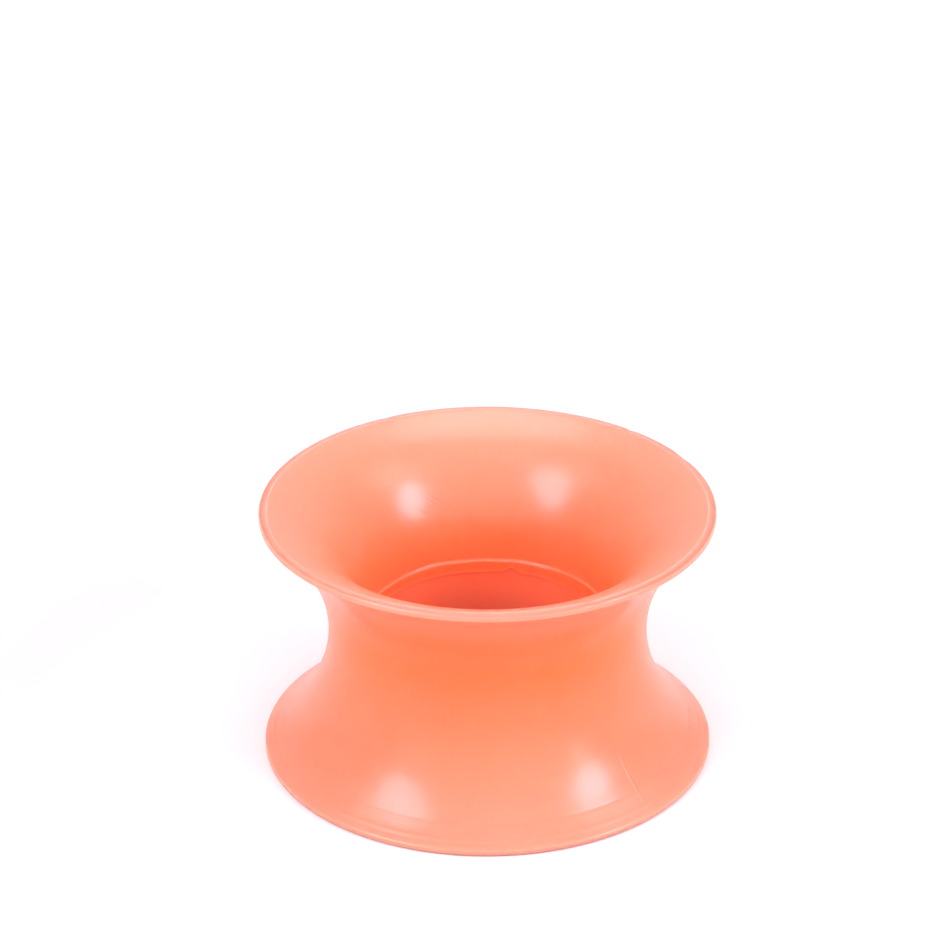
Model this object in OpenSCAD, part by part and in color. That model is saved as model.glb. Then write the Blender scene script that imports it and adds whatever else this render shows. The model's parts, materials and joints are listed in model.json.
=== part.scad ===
// Double-flared ear tunnel: one soft silicone ring that fits a stretched lobe.
// It stands on its lower lip, with the bore's axis along Z and the origin at the middle of its foot.

/* [Sizes] */
// Diameter of the waist, which is the gauge of the stretched lobe, in millimetres
gauge_d = 12; // [11:0.5:13]
// Diameter of both flares
flare_d = 17; // [16:0.5:18]
// Length along the bore, from lip to lip
tunnel_length = 10; // [9.5:0.5:11]
// Diameter of the bore at the seam in its middle
bore_d = 9; // [8:0.5:9.5]

/* [Lips] */
// Height of the rim, the upright outer face of each lip
rim_h = 0.23; // [0.15:0.01:0.4]
// Width of the flat end face of each lip
lip_w = 0.2; // [0.15:0.05:0.35]
// Rounding of each lip's outer edge
lip_round_r = 0.1; // [0.05:0.01:0.1]

/* [Seam] */
// Width of the raised band where the two halves of the core met
seam_w = 0.55; // [0.4:0.05:0.8]
// Height of that band above the wall of the bore
seam_h = 0.05; // [0.03:0.01:0.1]

/* [Hidden] */
$fn = 180;

// Radii of the waist, the flare, the seam's face and the wall beside the seam
waist_r = gauge_d / 2;
flare_r = flare_d / 2;
seam_r = bore_d / 2;
throat_r = seam_r + seam_h;

// The section is symmetric about the waist, at half the length
half_length = tunnel_length / 2;

// Inner edge of the lip's end face, where the mouth of the bore begins
mouth_r = flare_r - lip_round_r - lip_w;

// Radius of the arc that bows by rise over a half chord
function arc_radius(half_chord, rise) = (half_chord ^ 2 + rise ^ 2) / (2 * rise);

// The bore's wall is one arc from the throat to both mouths
bore_arc_r = arc_radius(half_length, mouth_r - throat_r);

// The lobe's groove is one arc from the waist to both rims
groove_arc_r = arc_radius(half_length - rim_h, flare_r - waist_r);

// The seam's band reaches this far into the wall, so that the two are one solid
seam_root = 0.3;

// Every cut runs this far past what it cuts
cut_over = 1;

// Disc of the bore's arc: all of the wall's section lies inside it
module bore_disc() {
    translate([throat_r + bore_arc_r, half_length]) circle(r = bore_arc_r);
}

// Disc that cuts the groove for the lobe
module groove_disc() {
    translate([waist_r + groove_arc_r, half_length]) circle(r = groove_arc_r);
}

// Corner that is taken off a lip's outer edge, drawn for the lip at the top
module lip_corner() {
    translate([flare_r - lip_round_r, tunnel_length - lip_round_r])
        difference() {
            square(lip_round_r + cut_over);
            circle(r = lip_round_r);
        }
}

// Both lips' corners
module lip_corners() {
    lip_corner();
    translate([0, tunnel_length]) mirror([0, 1]) lip_corner();
}

// Raised band in the middle of the bore
module seam_band() {
    translate([seam_r, half_length - seam_w / 2]) square([seam_h + seam_root, seam_w]);
}

// Half section of the wall, with the bore's axis along its left edge
module wall_section() {
    difference() {
        intersection() {
            bore_disc();
            square([flare_r, tunnel_length]);
        }
        groove_disc();
        lip_corners();
    }
    seam_band();
}

// The tunnel is the wall's section turned about the bore's axis
module tunnel() {
    color([1, 0.53, 0.36]) rotate_extrude() wall_section();
}

tunnel();
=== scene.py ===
import json
import math
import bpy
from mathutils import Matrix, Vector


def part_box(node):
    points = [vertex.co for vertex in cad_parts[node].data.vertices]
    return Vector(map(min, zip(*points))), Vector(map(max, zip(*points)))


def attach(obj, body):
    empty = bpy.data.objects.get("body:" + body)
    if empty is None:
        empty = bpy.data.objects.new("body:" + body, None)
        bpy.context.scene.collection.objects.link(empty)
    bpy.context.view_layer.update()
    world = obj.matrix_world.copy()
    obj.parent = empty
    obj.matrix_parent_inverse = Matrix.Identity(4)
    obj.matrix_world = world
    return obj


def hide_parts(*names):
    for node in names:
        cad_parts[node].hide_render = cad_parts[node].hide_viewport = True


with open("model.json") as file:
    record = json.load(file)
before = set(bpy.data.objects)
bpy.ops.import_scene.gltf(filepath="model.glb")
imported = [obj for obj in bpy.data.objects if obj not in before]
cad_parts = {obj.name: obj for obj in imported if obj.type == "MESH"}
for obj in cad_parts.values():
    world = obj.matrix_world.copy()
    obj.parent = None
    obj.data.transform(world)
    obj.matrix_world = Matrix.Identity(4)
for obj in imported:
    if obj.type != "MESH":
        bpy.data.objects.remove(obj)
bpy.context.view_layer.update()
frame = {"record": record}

from types import SimpleNamespace

import bpy
import numpy as np
from mathutils import Vector

# One ear tunnel of translucent coral silicone, standing on its lower lip. Lengths are in metres.
MM = 0.001

# Sizes that the frame gives: the flare and length from the node's box, the rest from the mounts
node_low, node_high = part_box("tunnel")
MOUNT_DIMS = {m["name"]: m["dims"] for m in frame["record"]["mounts"]}
FLARE_R = (node_high.x - node_low.x) / 2
LENGTH = node_high.z - node_low.z
HALF_LENGTH = LENGTH / 2
WAIST_R = MOUNT_DIMS["lobe_groove"]["r_mm"] * MM
SEAM_R = MOUNT_DIMS["bore"]["r_mm"] * MM
SEAM_W = MOUNT_DIMS["bore"]["length_mm"] * MM

# Sizes of the lips and of the seam's band, as in the part
RIM_H = 0.23 * MM
LIP_W = 0.2 * MM
LIP_ROUND_R = 0.1 * MM
SEAM_H = 0.05 * MM
THROAT_R = SEAM_R + SEAM_H
MOUTH_R = FLARE_R - LIP_ROUND_R - LIP_W

# How far soft rubber rounds every corner of the section
CORNER_SOFTNESS = 0.022 * MM

# Mesh fineness: faces round the axis, and the spacing along the section, which is finer at details
AROUND = 420
SAMPLE_STEP = 0.01 * MM
COARSE_STEP = 0.22 * MM
FINE_STEP = 0.034 * MM
FINE_REACH = 0.25 * MM
MARK_REACH = 0.12 * MM

# Soft silicone is never quite round or flat: how far the flares go oval and the lips wave. A row of
# waves is their count round the axis, their share and their phase
OVAL = 0.035 * MM
OVAL_TURN = math.radians(25)
LIP_WAVE = 0.03 * MM
LIP_WAVES = ((2, 0.5, 1.1), (3, 0.3, 4.0), (5, 0.2, 2.3))

# Nicks where the moulding's flash was trimmed from the upper lip: azimuth in degrees, half width and
# depth, and how far down the lip they reach
NICK_REACH = 0.12 * MM
NICKS = ((-152, 0.20 * MM, 0.025 * MM), (118, 0.45 * MM, 0.035 * MM), (139, 0.16 * MM, 0.03 * MM),
         (-64, 0.14 * MM, 0.04 * MM), (27, 0.25 * MM, 0.03 * MM))

# Marks that were turned into the mould outside both flares: height from the lip's face, and the depth
# and half width of the groove, where a depth below zero is a ridge
MARKS = ((0.90 * MM, 0.018 * MM, 0.055 * MM), (0.47 * MM, -0.02 * MM, 0.05 * MM))
MARK_WAVES = ((1, 0.4, 2.3), (3, 0.3, 3.7), (7, 0.3, 0.2))

# Each edge of the seam's band carries a fine bead of flash
BEAD_H = 0.035 * MM
BEAD_HALF_WIDTH = 0.06 * MM

# The seam's band wanders, and at one place a kink almost closes it
SEAM_WANDER = 0.045 * MM
SEAM_WAVES = ((2, 0.45, 0.7), (5, 0.3, 3.9), (9, 0.25, 1.8), (17, 0.2, 5.2))
KINK_AZIMUTH = 168
KINK_HALF_WIDTH = 0.22 * MM
KINK_RISE = 0.2 * MM

# The mould's parting line runs down both sides, at this turn from the X axis
PARTING_TURN = math.radians(-44)
PARTING_HALF_WIDTH = 0.09 * MM

# Scratches in the mouth lie across this turn from the X axis. Along their length, their noise changes
# only by this share of its change across
SCRATCH_TURN = math.radians(57)
SCRATCH_STRETCH = 0.04

# How little the turned rings change on the way round, against their change across, and a step that
# makes the upper flare's rings differ from the lower one's
RING_TURN = 0.012
RING_STEP = 30 * MM

# The middle of the wall, which parts the mouth from the outside: its radius at the waist, and how it
# bows outwards with the square of the height
WALL_MIDDLE_R = 5.25 * MM
WALL_BOW = 124.0

# How fine each noise of the material is, in features per metre
CLOUD_SCALE = 260
PATCH_SCALE = 420
PEEL_SCALE = 2600
RING_SCALE = 11000
SCRATCH_SCALE = 9000
SCRATCHED_SCALE = 380
PARTED_SCALE = 500

# Least and most roughness of the patches, and what the rings near the lips add or take away
ROUGHNESS = (0.235, 0.262)
RING_ROUGHNESS = 0.008

# Relief of the material, in micrometres
PEEL_RELIEF = 1.6
RING_RELIEF = 0.2
LIP_RING_RELIEF = 4.0
SEAM_RING_RELIEF = 2.5
PARTING_RELIEF = 6.0
SCRATCH_RELIEF = -2.5
MICROMETRE = 0.001 * MM

# Colours of the silicone: deep at the waist, and paler where the wall is thin, a paleness that is
# painted light for the light shining through the thin wall; and on the lips' end faces, where the darker
# colour is painted shade
DEEP = (1.0, 0.152, 0.022, 1)
PALE = (1.0, 0.252, 0.16, 1)
LIP_FACE_SHADE = (1.0, 0.168, 0.1, 1)

# How far red, green and blue light scatter in the silicone, and its index of refraction
SCATTER_LENGTH = 1.0 * MM
SCATTER = (1.4, 0.7, 0.9)
INDEX = 1.5

# Half width of the floor. So that it looks evenly white, it throws back more of the light in the
# tunnel's shade, within the first radius, than in the open, beyond the second
FLOOR_HALF_WIDTH = 2.0
FLOOR_SHADED_R = 12 * MM
FLOOR_OPEN_R = 20 * MM
FLOOR_SHADED = 0.73
FLOOR_OPEN = 0.62

# Strength of the white surroundings, and how far away the softboxes stand
WORLD_STRENGTH = 0.58
LIGHT_DISTANCE = 0.5

# Colours of the softboxes: the two that make the highlights are cooler
WHITE = (1, 1, 1)
COOL = (1, 1, 1.3)

# Softboxes: azimuth, where 0 is the camera's side and 90 the right, and elevation in degrees, width
# and height, radiance and colour
SOFTBOXES = {
    "left": (-55, 40, (0.21, 0.3), 6.2, COOL),
    "right": (66, 30, (0.18, 0.25), 9.4, COOL),
    "right_low": (59, 9, (0.13, 0.13), 2.8, WHITE),
    "right_high": (85, 47, (0.26, 0.2), 2.1, WHITE),
    "left_high": (-77, 48, (0.2, 0.2), 1.5, WHITE),
    "back": (180, 30, (0.08, 0.2), 2.5, WHITE),
    "fill": (0, 33, (1.7, 1.2), 0.95, WHITE),
    "top": (180, 76, (0.34, 0.3), 3.6, WHITE),
}

# The photograph's view: focal length and sensor in millimetres, and the camera's place and tilt
CAMERA_LENS = 136.5
CAMERA_SENSOR = 36
CAMERA_SHIFT = (-0.0132, 0.001)
CAMERA_PLACE = (0, -0.1186, 0.07156)
CAMERA_TILT = math.radians(63.03)


def arc_radius(half_chord, rise):
    """Radius of the arc that bows by rise over a half chord."""
    return (half_chord**2 + rise**2) / (2 * rise)


def arc(centre, radius, start, end):
    """Points of an arc in the section's plane, from start to end, both angles in radians."""
    count = max(4, int(abs(end - start) * radius / SAMPLE_STEP))
    angle = np.linspace(start, end, count, endpoint=False)
    return np.stack([centre[0] + radius * np.cos(angle), centre[1] + radius * np.sin(angle)], 1)


def line(start, end):
    """Points of a straight stretch of the section."""
    start, end = np.array(start), np.array(end)
    count = max(4, int(np.linalg.norm(end - start) / SAMPLE_STEP))
    return start + (end - start) * np.linspace(0, 1, count, endpoint=False)[:, None]


def sharp_section():
    """The part's half section, closed: (r, z) points from the lower lip up the groove, down the bore."""
    bore_arc_r = arc_radius(HALF_LENGTH, MOUTH_R - THROAT_R)
    groove_arc_r = arc_radius(HALF_LENGTH - RIM_H, FLARE_R - WAIST_R)
    bore_centre = (THROAT_R + bore_arc_r, HALF_LENGTH)
    groove_centre = (WAIST_R + groove_arc_r, HALF_LENGTH)
    groove_turn = math.asin((HALF_LENGTH - RIM_H) / groove_arc_r)
    bore_turn = math.asin(HALF_LENGTH / bore_arc_r)
    seam_turn = math.asin(SEAM_W / 2 / bore_arc_r)
    round_r = FLARE_R - LIP_ROUND_R
    wall_at_seam = bore_centre[0] - bore_arc_r * math.cos(seam_turn)
    seam_low, seam_high = HALF_LENGTH - SEAM_W / 2, HALF_LENGTH + SEAM_W / 2
    stretches = [
        line((MOUTH_R, 0), (round_r, 0)),
        arc((round_r, LIP_ROUND_R), LIP_ROUND_R, -math.pi / 2, 0),
        line((FLARE_R, LIP_ROUND_R), (FLARE_R, RIM_H)),
        arc(groove_centre, groove_arc_r, math.pi + groove_turn, math.pi - groove_turn),
        line((FLARE_R, LENGTH - RIM_H), (FLARE_R, LENGTH - LIP_ROUND_R)),
        arc((round_r, LENGTH - LIP_ROUND_R), LIP_ROUND_R, 0, math.pi / 2),
        line((round_r, LENGTH), (MOUTH_R, LENGTH)),
        arc(bore_centre, bore_arc_r, math.pi - bore_turn, math.pi - seam_turn),
        line((wall_at_seam, seam_high), (SEAM_R, seam_high)),
        line((SEAM_R, seam_high), (SEAM_R, seam_low)),
        line((SEAM_R, seam_low), (wall_at_seam, seam_low)),
        arc(bore_centre, bore_arc_r, math.pi + seam_turn, math.pi + bore_turn),
    ]
    return np.concatenate(stretches)


def soft_section():
    """The section with its corners softened, as evenly spaced (r, z) points."""
    points = sharp_section()
    closed = np.vstack([points, points[:1]])
    run = np.concatenate([[0], np.cumsum(np.linalg.norm(np.diff(closed, axis=0), axis=1))])
    even = np.arange(0, run[-1], SAMPLE_STEP)
    points = np.stack([np.interp(even, run, closed[:, k]) for k in (0, 1)], 1)
    reach = int(4 * CORNER_SOFTNESS / SAMPLE_STEP)
    weight = np.exp(-0.5 * (np.arange(-reach, reach + 1) * SAMPLE_STEP / CORNER_SOFTNESS) ** 2)
    weight /= weight.sum()
    padded = np.vstack([points[-reach:], points, points[:reach]])
    return np.stack([np.convolve(padded[:, k], weight, "valid") for k in (0, 1)], 1)


def section():
    """The section's rings: (r, z) points, closer together at the lips and at the seam's band."""
    points = soft_section()
    r, z = points[:, 0], points[:, 1]
    from_middle = np.abs(z - HALF_LENGTH)
    from_seam = np.maximum(0, from_middle - SEAM_W / 2) + 2 * np.maximum(0, r - SEAM_R - 3 * SEAM_H)
    from_lip = np.maximum(0, MOUTH_R - r) + np.maximum(0, HALF_LENGTH - RIM_H - from_middle)
    near = np.exp(-np.minimum(from_seam, from_lip) / FINE_REACH)
    outside = np.arange(len(z)) < np.argmax(z)
    for height, depth, half_width in MARKS:
        from_mark = np.abs(HALF_LENGTH - from_middle - height)
        near = np.maximum(near, outside * (from_mark < MARK_REACH))
    step = COARSE_STEP + (FINE_STEP - COARSE_STEP) * near
    run = np.concatenate([[0], np.cumsum(SAMPLE_STEP / step)])
    at = np.interp(np.linspace(0, run[-1], int(run[-1]), endpoint=False), run, np.arange(len(run)))
    return points[np.clip(at.astype(int), 0, len(points) - 1)]


def waves(angle, table):
    """A sum of waves round the axis, from -1 to 1. A row is its count, share and phase."""
    return sum(share * np.sin(count * angle + phase) for count, share, phase in table)


def bell(distance, half_width):
    """A smooth bump of height 1."""
    return np.exp(-((distance / half_width) ** 2))


def around(angle, azimuth):
    """The turn from an azimuth in degrees, where 0 is the front and 90 the right, in radians."""
    turn = angle - math.radians(azimuth - 90)
    return (turn + math.pi) % (2 * math.pi) - math.pi


def soften_shape(r, z, angle):
    """The small ways in which the soft body isn't a perfect figure of revolution."""
    reach = (np.abs(z - HALF_LENGTH) / HALF_LENGTH) ** 2
    new_r = r - OVAL * reach * (1 - np.cos(2 * (angle - OVAL_TURN))) / 2
    lip = np.maximum(0, reach - 0.6) / 0.4 * (r > WAIST_R)
    upper = z > HALF_LENGTH
    wave = np.where(upper, waves(angle, LIP_WAVES), waves(angle + 1, LIP_WAVES))
    new_z = z - np.sign(z - HALF_LENGTH) * lip * LIP_WAVE * (1 + wave) / 2
    for azimuth, half_width, depth in NICKS:
        cut = depth * bell(around(angle, azimuth) * FLARE_R, half_width) * bell(LENGTH - z, NICK_REACH)
        outer = np.clip((r - MOUTH_R) / (FLARE_R - MOUTH_R), 0, 1)
        new_r = new_r - cut * outer
        new_z = new_z - cut * upper * (1 - outer / 2)
    return new_r, new_z


def turn_marks(r, z, angle):
    """Cuts the mould's turned marks, which come and go round the axis, into the flares' outside."""
    outside = np.arange(r.shape[1]) < np.argmax(z[0])
    from_end = HALF_LENGTH - np.abs(z - HALF_LENGTH)
    wave = np.where(z > HALF_LENGTH, waves(angle + 2, MARK_WAVES), waves(angle, MARK_WAVES))
    strength = 0.6 + 0.4 * wave
    for height, depth, half_width in MARKS:
        r = r - outside * strength * depth * bell(from_end - height, half_width)
    return r


def bead_seam(r, z):
    """Raises the two beads of flash along the edges of the seam's band."""
    on_bore = bell(np.maximum(0, r - THROAT_R), SEAM_H)
    edge = np.abs(z - HALF_LENGTH) - SEAM_W / 2 + BEAD_HALF_WIDTH / 2
    return r - on_bore * BEAD_H * bell(edge, BEAD_HALF_WIDTH)


def wander_seam(r, z, angle):
    """Moves the edges of the seam's band, which are never quite straight, up and down the bore."""
    on_bore = bell(np.maximum(0, r - THROAT_R - SEAM_H), 3 * SEAM_H)
    upper = SEAM_WANDER * waves(angle, SEAM_WAVES) * bell(z - HALF_LENGTH - SEAM_W / 2, SEAM_W / 2)
    lower = SEAM_WANDER * waves(2 - angle, SEAM_WAVES) * bell(z - HALF_LENGTH + SEAM_W / 2, SEAM_W / 2)
    kink = bell(around(angle, KINK_AZIMUTH) * SEAM_R, KINK_HALF_WIDTH)
    rise = KINK_RISE * kink * bell(z - HALF_LENGTH + SEAM_W / 2, SEAM_W / 2)
    return z + on_bore * (upper + lower + rise)


def build_tunnel():
    """The tunnel's mesh: the section turned about the Z axis."""
    rings = section()
    count = len(rings)
    angle = np.linspace(0, 2 * math.pi, AROUND, endpoint=False)[:, None]
    r = np.repeat(rings[None, :, 0], AROUND, 0)
    z = np.repeat(rings[None, :, 1], AROUND, 0)
    r = turn_marks(bead_seam(r, z), z, angle)
    z = wander_seam(r, z, angle)
    r, z = soften_shape(r, z, angle)
    vertices = np.stack([r * np.cos(angle), r * np.sin(angle), z], 2).reshape(-1, 3)
    i, j = np.meshgrid(np.arange(AROUND), np.arange(count), indexing="ij")
    here = i * count + j
    up = i * count + (j + 1) % count
    beside = ((i + 1) % AROUND) * count + j
    across = ((i + 1) % AROUND) * count + (j + 1) % count
    faces = np.stack([here, beside, across, up], 2).reshape(-1, 4)
    mesh = bpy.data.meshes.new("silicone_tunnel")
    mesh.from_pydata(vertices.tolist(), [], faces.tolist())
    mesh.validate()
    mesh.shade_smooth()
    piece = bpy.data.objects.new("silicone_tunnel", mesh)
    bpy.context.scene.collection.objects.link(piece)
    return piece


def node(tree, kind, inputs=None, **settings):
    """A new node. Each of its inputs is set to a value, or linked where a socket is given."""
    made = tree.nodes.new(kind)
    for name, value in settings.items():
        setattr(made, name, value)
    for key, value in (inputs or {}).items():
        if isinstance(value, bpy.types.NodeSocket):
            tree.links.new(value, made.inputs[key])
        else:
            made.inputs[key].default_value = value
    return made


def calculate(tree, operation, *values):
    """The output of a math node."""
    return node(tree, "ShaderNodeMath", dict(enumerate(values)), operation=operation).outputs[0]


def fade(tree, value, start, end, low=0.0, high=1.0):
    """A smooth change from low to high, as the value goes from start to end."""
    inputs = {"Value": value, "From Min": start, "From Max": end, "To Min": low, "To Max": high}
    return node(tree, "ShaderNodeMapRange", inputs, interpolation_type="SMOOTHSTEP").outputs[0]


def noise(tree, vector, scale, detail, roughness=0.5):
    """Smooth noise from 0 to 1."""
    inputs = {"Vector": vector, "Scale": scale, "Detail": detail, "Roughness": roughness}
    return node(tree, "ShaderNodeTexNoise", inputs).outputs[0]


def spread(tree, value, width):
    """A smooth peak of 1 where the value is 0, which is down to 0 at the given width on both sides."""
    return fade(tree, calculate(tree, "ABSOLUTE", value), width, 0)


def product(tree, *values):
    """The product of values."""
    result = values[0]
    for value in values[1:]:
        result = calculate(tree, "MULTIPLY", result, value)
    return result


def weighted(tree, *terms):
    """The sum of values, each multiplied by its weights."""
    total = 0.0
    for term in terms:
        total = calculate(tree, "ADD", total, product(tree, *term))
    return total


def surface_places(tree):
    """Where a point of the surface is, and a place in the noise of the turned rings."""
    place = node(tree, "ShaderNodeTexCoord").outputs["Object"]
    split = node(tree, "ShaderNodeSeparateXYZ", {"Vector": place}).outputs
    x, y = split[0], split[1]
    radius = calculate(tree, "SQRT", weighted(tree, (x, x), (y, y)))
    above = calculate(tree, "SUBTRACT", split[2], HALF_LENGTH)
    middle = calculate(tree, "ABSOLUTE", above)
    side = product(tree, calculate(tree, "GREATER_THAN", above, 0.0), RING_STEP)
    along = weighted(tree, (radius,), (middle,), (side,))
    turned = {"X": product(tree, x, RING_TURN), "Y": product(tree, y, RING_TURN), "Z": along}
    rings = node(tree, "ShaderNodeCombineXYZ", turned).outputs[0]
    return SimpleNamespace(place=place, x=x, y=y, radius=radius, above=above, middle=middle,
                           rings=rings)


def surface_zones(tree, at):
    """How far a point belongs to each zone of the surface, from 0 to 1."""
    bowed_in = calculate(tree, "SUBTRACT", at.radius, weighted(tree, (at.above, at.above, WALL_BOW)))
    in_mouth = fade(tree, bowed_in, WALL_MIDDLE_R + 0.1 * MM, WALL_MIDDLE_R - 0.1 * MM)
    outside = calculate(tree, "SUBTRACT", 1.0, in_mouth)
    in_bore = fade(tree, at.radius, SEAM_R + 0.25 * MM, SEAM_R + 0.1 * MM)
    in_band = product(tree, spread(tree, at.above, 0.3 * MM), in_bore)
    # Near the seam. The colour is painted paler here: painted light that lifts the shade deep in the
    # bore. The seam's ripples use the same zone
    near_seam = product(tree, spread(tree, at.above, 1.3 * MM),
                        fade(tree, at.radius, WAIST_R - 0.5 * MM, SEAM_R + 0.3 * MM))
    at_waist = product(tree, outside, fade(tree, at.middle, 3.9 * MM, 2.2 * MM))
    near_lip = product(tree, outside,
                       fade(tree, at.middle, HALF_LENGTH - 1.3 * MM, HALF_LENGTH - 0.8 * MM))
    # The lips' end faces, which the colour paints darker: painted shade that holds back the light
    # falling on these level faces from above
    painted_lip_shade = product(tree, fade(tree, at.radius, FLARE_R - 0.02 * MM, FLARE_R - 0.08 * MM),
                     fade(tree, at.radius, MOUTH_R - 0.03 * MM, MOUTH_R + 0.08 * MM),
                     fade(tree, at.middle, HALF_LENGTH - 0.25 * MM, HALF_LENGTH - 0.12 * MM))
    return SimpleNamespace(in_mouth=in_mouth, outside=outside, in_band=in_band, near_seam=near_seam,
                           at_waist=at_waist, near_lip=near_lip, painted_lip_shade=painted_lip_shade)


def silicone_colour(tree, at, zone):
    """Deep at the waist and paler where the wall thins towards the lips, which is painted light for the
    light shining through the thin wall, with soft clouds. Also painted: light that lifts the shade deep
    in the bore, shade under the upper flare, and shade on the lips' end faces.
    """
    clouds = fade(tree, noise(tree, at.place, CLOUD_SCALE, 3), 0.3, 0.7, -0.04, 0.04)
    # Paler away from the waist: painted light, standing in for the light that shines through the
    # thinning wall
    painted_translucency = calculate(tree, "POWER", calculate(tree, "DIVIDE", at.middle, HALF_LENGTH), 1.2)
    # Darker just under the upper flare and a little paler below it: painted shade under the flare's
    # overhang, and a little painted light on the lower waist
    painted_overhang_shade = fade(tree, at.above, 1.5 * MM, -0.4 * MM, -0.34, 0.06)
    pale = weighted(tree, (0.18,), (painted_translucency, 0.82), (clouds,), (zone.in_band, -0.13),
                    (zone.near_seam, 0.14), (painted_overhang_shade, zone.at_waist))
    ramp = node(tree, "ShaderNodeValToRGB", {"Fac": pale})
    ramp.color_ramp.elements[0].color = DEEP
    ramp.color_ramp.elements[1].color = PALE
    mix = node(tree, "ShaderNodeMix", {0: zone.painted_lip_shade, 6: ramp.outputs["Color"], 7: LIP_FACE_SHADE},
               data_type="RGBA")
    return mix.outputs[2]


def silicone_roughness(tree, at, zone, fine_rings):
    """A satin finish in soft patches, with fine turned rings near the lips."""
    patches = fade(tree, noise(tree, at.place, PATCH_SCALE, 2), 0.3, 0.7, *ROUGHNESS)
    ringed = fade(tree, fine_rings, 0.3, 0.7, -RING_ROUGHNESS, RING_ROUGHNESS)
    return weighted(tree, (patches,), (ringed, zone.near_lip))


def scratches(tree, at, zone):
    """Fine parallel scratches in a few patches on the far side of the mouth, from 0 to 1."""
    cos, sin = math.cos(SCRATCH_TURN), math.sin(SCRATCH_TURN)
    across = weighted(tree, (at.x, cos), (at.above, sin))
    along = weighted(tree, (at.x, -SCRATCH_STRETCH * sin), (at.above, SCRATCH_STRETCH * cos))
    where = node(tree, "ShaderNodeCombineXYZ", {"X": across, "Y": along, "Z": 0.0}).outputs[0]
    lines = fade(tree, noise(tree, where, SCRATCH_SCALE, 0), 0.6, 0.68)
    patch = fade(tree, noise(tree, at.place, SCRATCHED_SCALE, 0), 0.5, 0.62)
    far_side = fade(tree, at.y, 2 * MM, 4 * MM)
    return product(tree, lines, patch, far_side, zone.in_mouth)


def parting_line(tree, at, zone):
    """The mould's parting line, which comes and goes down both sides, from 0 to 1."""
    across = weighted(tree, (at.x, math.sin(PARTING_TURN)), (at.y, -math.cos(PARTING_TURN)))
    broken = fade(tree, noise(tree, at.place, PARTED_SCALE, 1), 0.38, 0.53)
    return product(tree, spread(tree, across, PARTING_HALF_WIDTH), broken, zone.outside)


def silicone_relief(tree, at, zone, fine_rings):
    """The surface's relief, as a normal: peel, turned rings, the parting line and scratches."""
    peel = noise(tree, at.place, PEEL_SCALE, 1)
    height = weighted(tree, (peel, PEEL_RELIEF), (fine_rings, zone.near_lip, LIP_RING_RELIEF),
                      (fine_rings, zone.near_seam, SEAM_RING_RELIEF), (fine_rings, RING_RELIEF),
                      (parting_line(tree, at, zone), PARTING_RELIEF),
                      (scratches(tree, at, zone), SCRATCH_RELIEF))
    inputs = {"Height": height, "Strength": 1.0, "Distance": MICROMETRE}
    return node(tree, "ShaderNodeBump", inputs).outputs["Normal"]


def silicone():
    """The material of translucent coral silicone."""
    material = bpy.data.materials.new("silicone")
    material.use_nodes = True
    tree = material.node_tree
    shader = tree.nodes["Principled BSDF"]
    at = surface_places(tree)
    zone = surface_zones(tree, at)
    fine_rings = noise(tree, at.rings, RING_SCALE, 2, 0.55)
    tree.links.new(silicone_colour(tree, at, zone), shader.inputs["Base Color"])
    tree.links.new(silicone_roughness(tree, at, zone, fine_rings), shader.inputs["Roughness"])
    tree.links.new(silicone_relief(tree, at, zone, fine_rings), shader.inputs["Normal"])
    shader.inputs["Subsurface Weight"].default_value = 1
    shader.inputs["Subsurface Radius"].default_value = SCATTER
    shader.inputs["Subsurface Scale"].default_value = SCATTER_LENGTH
    shader.inputs["IOR"].default_value = INDEX
    return material


def floor_material():
    """Matt and pale, a little paler in the tunnel's shade."""
    material = bpy.data.materials.new("floor")
    material.use_nodes = True
    tree = material.node_tree
    shader = tree.nodes["Principled BSDF"]
    place = node(tree, "ShaderNodeTexCoord").outputs["Object"]
    radius = node(tree, "ShaderNodeVectorMath", {0: place}, operation="LENGTH").outputs["Value"]
    shade = fade(tree, radius, FLOOR_SHADED_R, FLOOR_OPEN_R, FLOOR_SHADED, FLOOR_OPEN)
    tree.links.new(shade, shader.inputs["Base Color"])
    shader.inputs["Roughness"].default_value = 0.9
    shader.inputs["Specular IOR Level"].default_value = 0.0
    return material


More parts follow.
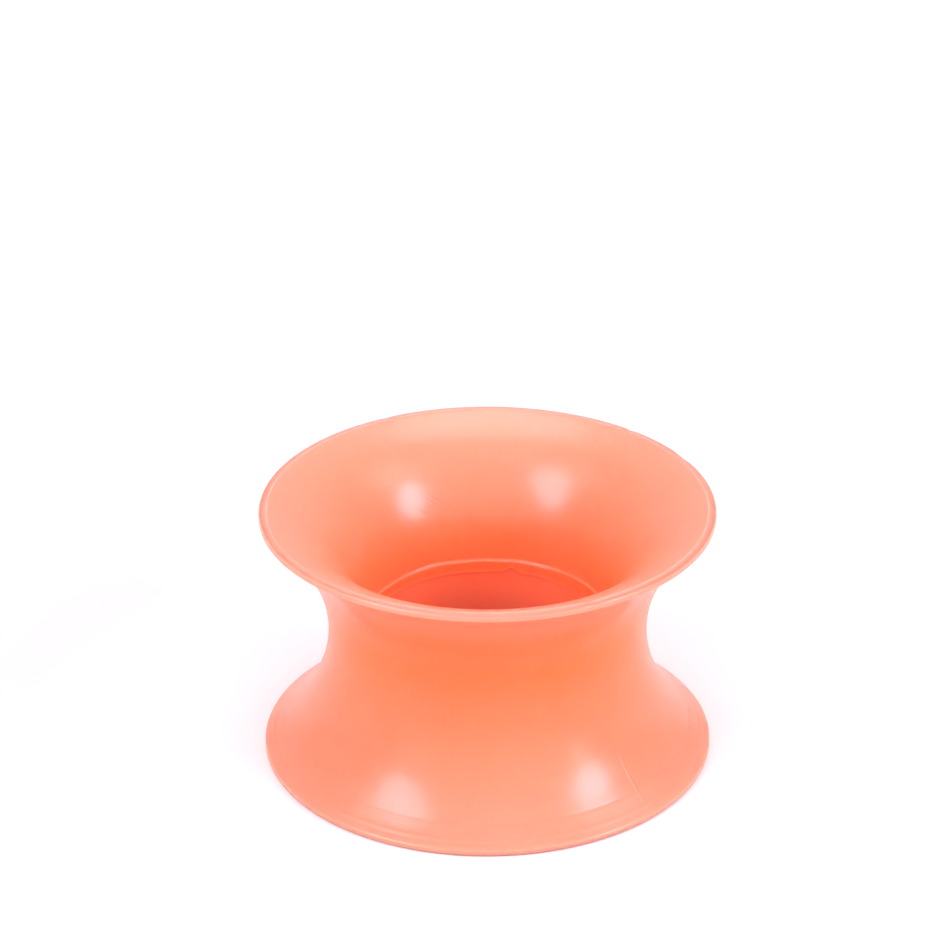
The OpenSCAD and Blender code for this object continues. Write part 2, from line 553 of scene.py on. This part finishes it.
def build_floor():
    """A plain pale floor."""
    far = FLOOR_HALF_WIDTH
    corners = [(-far, -far, 0), (far, -far, 0), (far, far, 0), (-far, far, 0)]
    mesh = bpy.data.meshes.new("floor")
    mesh.from_pydata(corners, [], [(0, 1, 2, 3)])
    mesh.materials.append(floor_material())
    floor = bpy.data.objects.new("floor", mesh)
    bpy.context.scene.collection.objects.link(floor)


def build_light(name, azimuth, elevation, size, radiance, color):
    """A round softbox that faces the tunnel."""
    data = bpy.data.lights.new(name, "AREA")
    data.shape = "ELLIPSE"
    data.size, data.size_y = size
    data.color = color
    area = math.pi * size[0] * size[1] / 4
    data.energy = math.pi * radiance * area
    light = bpy.data.objects.new(name, data)
    a, e = math.radians(azimuth), math.radians(elevation)
    out = Vector((math.sin(a) * math.cos(e), -math.cos(a) * math.cos(e), math.sin(e)))
    light.location = Vector((0, 0, HALF_LENGTH)) + LIGHT_DISTANCE * out
    light.rotation_euler = (-out).to_track_quat("-Z", "Y").to_euler()
    bpy.context.scene.collection.objects.link(light)


def build_world():
    """White surroundings."""
    world = bpy.data.worlds.new("studio")
    world.use_nodes = True
    background = world.node_tree.nodes["Background"]
    background.inputs["Color"].default_value = (1, 1, 1, 1)
    background.inputs["Strength"].default_value = WORLD_STRENGTH
    bpy.context.scene.world = world


def build_camera():
    """The photograph's view of the tunnel."""
    data = bpy.data.cameras.new("camera")
    data.lens = CAMERA_LENS
    data.sensor_width = CAMERA_SENSOR
    data.shift_x, data.shift_y = CAMERA_SHIFT
    data.clip_start = 5 * MM
    camera = bpy.data.objects.new("camera", data)
    camera.location = CAMERA_PLACE
    camera.rotation_euler = (CAMERA_TILT, 0, 0)
    bpy.context.scene.collection.objects.link(camera)
    bpy.context.scene.camera = camera


tunnel = build_tunnel()
tunnel.data.materials.append(silicone())
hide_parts("tunnel")
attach(tunnel, "root")

build_floor()
build_world()
for softbox, (azimuth, elevation, size, radiance, color) in SOFTBOXES.items():
    build_light(softbox + "_softbox", azimuth, elevation, size, radiance, color)
build_camera()
bpy.context.scene.view_settings.view_transform = "Standard"
